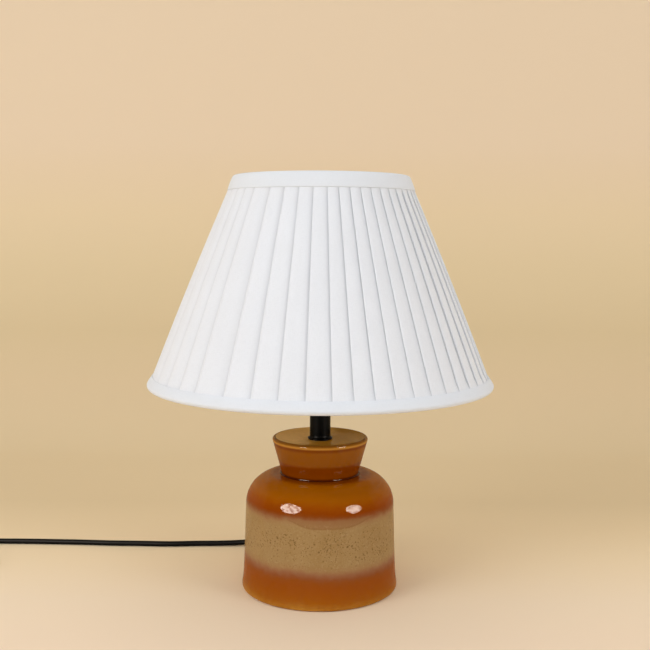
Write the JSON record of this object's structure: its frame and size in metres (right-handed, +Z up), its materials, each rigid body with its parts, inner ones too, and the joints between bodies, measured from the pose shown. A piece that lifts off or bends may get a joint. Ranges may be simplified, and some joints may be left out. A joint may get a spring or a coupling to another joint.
{
  "type": "table lamp",
  "caption": "Ginger jar table lamp: glazed stoneware jar, black stem and lampholder, knife-pleated empire shade, coiled lead with a plug.",
  "frame": {"origin": "on the lamp's vertical axis, at the surface that its felt foot stands on", "axes": "+Z up along the stem, -Y towards the front, the lead runs off to -X behind the lamp"},
  "size_m": [0.6584, 0.3504, 0.4214],
  "materials": {
    "stoneware": "gloss amber reactive glaze with an oatmeal band",
    "felt": "pressed wool felt",
    "black_plastic": "satin moulded phenolic",
    "relief_rubber": "satin rubber",
    "zinc_steel": "zinc plated",
    "insulator": "white glazed porcelain",
    "brass": "rolled sheet, nickel tinged",
    "bulb_cap_metal": "rolled thread",
    "bulb_black": "black vitrite",
    "solder": "tinned solder",
    "pearl_glass": "pearl coated",
    "frame_wire": "white stoved enamel",
    "shade_cloth": "white pleated cloth",
    "band_cloth": "white folded cloth",
    "cord_sheath": "black sheath, satin",
    "live_sheath": "brown insulation",
    "neutral_sheath": "blue insulation",
    "tie_strap": "woven hook and loop strap",
    "plug_plastic": "moulded, satin",
    "pin_metal": "nickel plated brass"
  },
  "bodies": {
    "base": {"jar": "stoneware", "foot_felt": "felt", "cord_relief": "relief_rubber", "threaded_tube": "zinc_steel", "deck_washer": "zinc_steel", "deck_nut": "zinc_steel", "stem": "black_plastic", "holder_cap": "black_plastic", "terminal_block": "insulator", "terminal_screws": "brass", "thread_shell": "brass", "centre_contact": "brass", "holder_shell": "black_plastic", "inner_cord": "cord_sheath", "live_core": "live_sheath", "neutral_core": "neutral_sheath", "cord": "cord_sheath", "cord_coil": "cord_sheath", "cord_tie": "tie_strap", "plug_body": "plug_plastic", "plug_pins": "pin_metal"},
    "switch_bar": {"switch_bar": "black_plastic"},
    "shade_ring": {"shade_ring": "black_plastic"},
    "bulb_tip": {"bulb_contact": "solder"},
    "bulb": {"bulb_cap": "bulb_cap_metal", "bulb_insulator": "bulb_black", "bulb_glass": "pearl_glass"},
    "shade": {"top_ring": "frame_wire", "bottom_ring": "frame_wire", "struts": "frame_wire", "fitter_arms": "frame_wire", "fitter_ring": "frame_wire", "shade_cover": "shade_cloth", "top_binding": "band_cloth", "bottom_binding": "band_cloth"}
  },
  "joints": [
    {"name": "switch_push", "type": "slide", "parent": "base", "child": "switch_bar", "axis": [-1, 0, 0], "range_m": [0, 0.007]},
    {"name": "bulb_rise", "type": "slide", "parent": "base", "child": "bulb_tip", "axis": [0, 0, 1], "range_m": [0, 0.01814]},
    {"name": "bulb_turn", "type": "hinge", "parent": "bulb_tip", "child": "bulb", "pos_m": [0, 0, 0.2456], "axis": [0, 0, 1], "range_deg": [0, 1800]},
    {"name": "shade_turn", "type": "hinge", "parent": "base", "child": "shade", "pos_m": [0, 0, 0.2371], "axis": [0, 0, 1], "continuous": true},
    {"name": "shade_ring_rise", "type": "slide", "parent": "base", "child": "shade_ring", "axis": [0, 0, 1], "range_m": [0, 0.012]}
  ],
  "couplings": [
    {"joint": "bulb_turn", "follows": "bulb_rise", "rad_per_m": 1731.6}
  ]
}
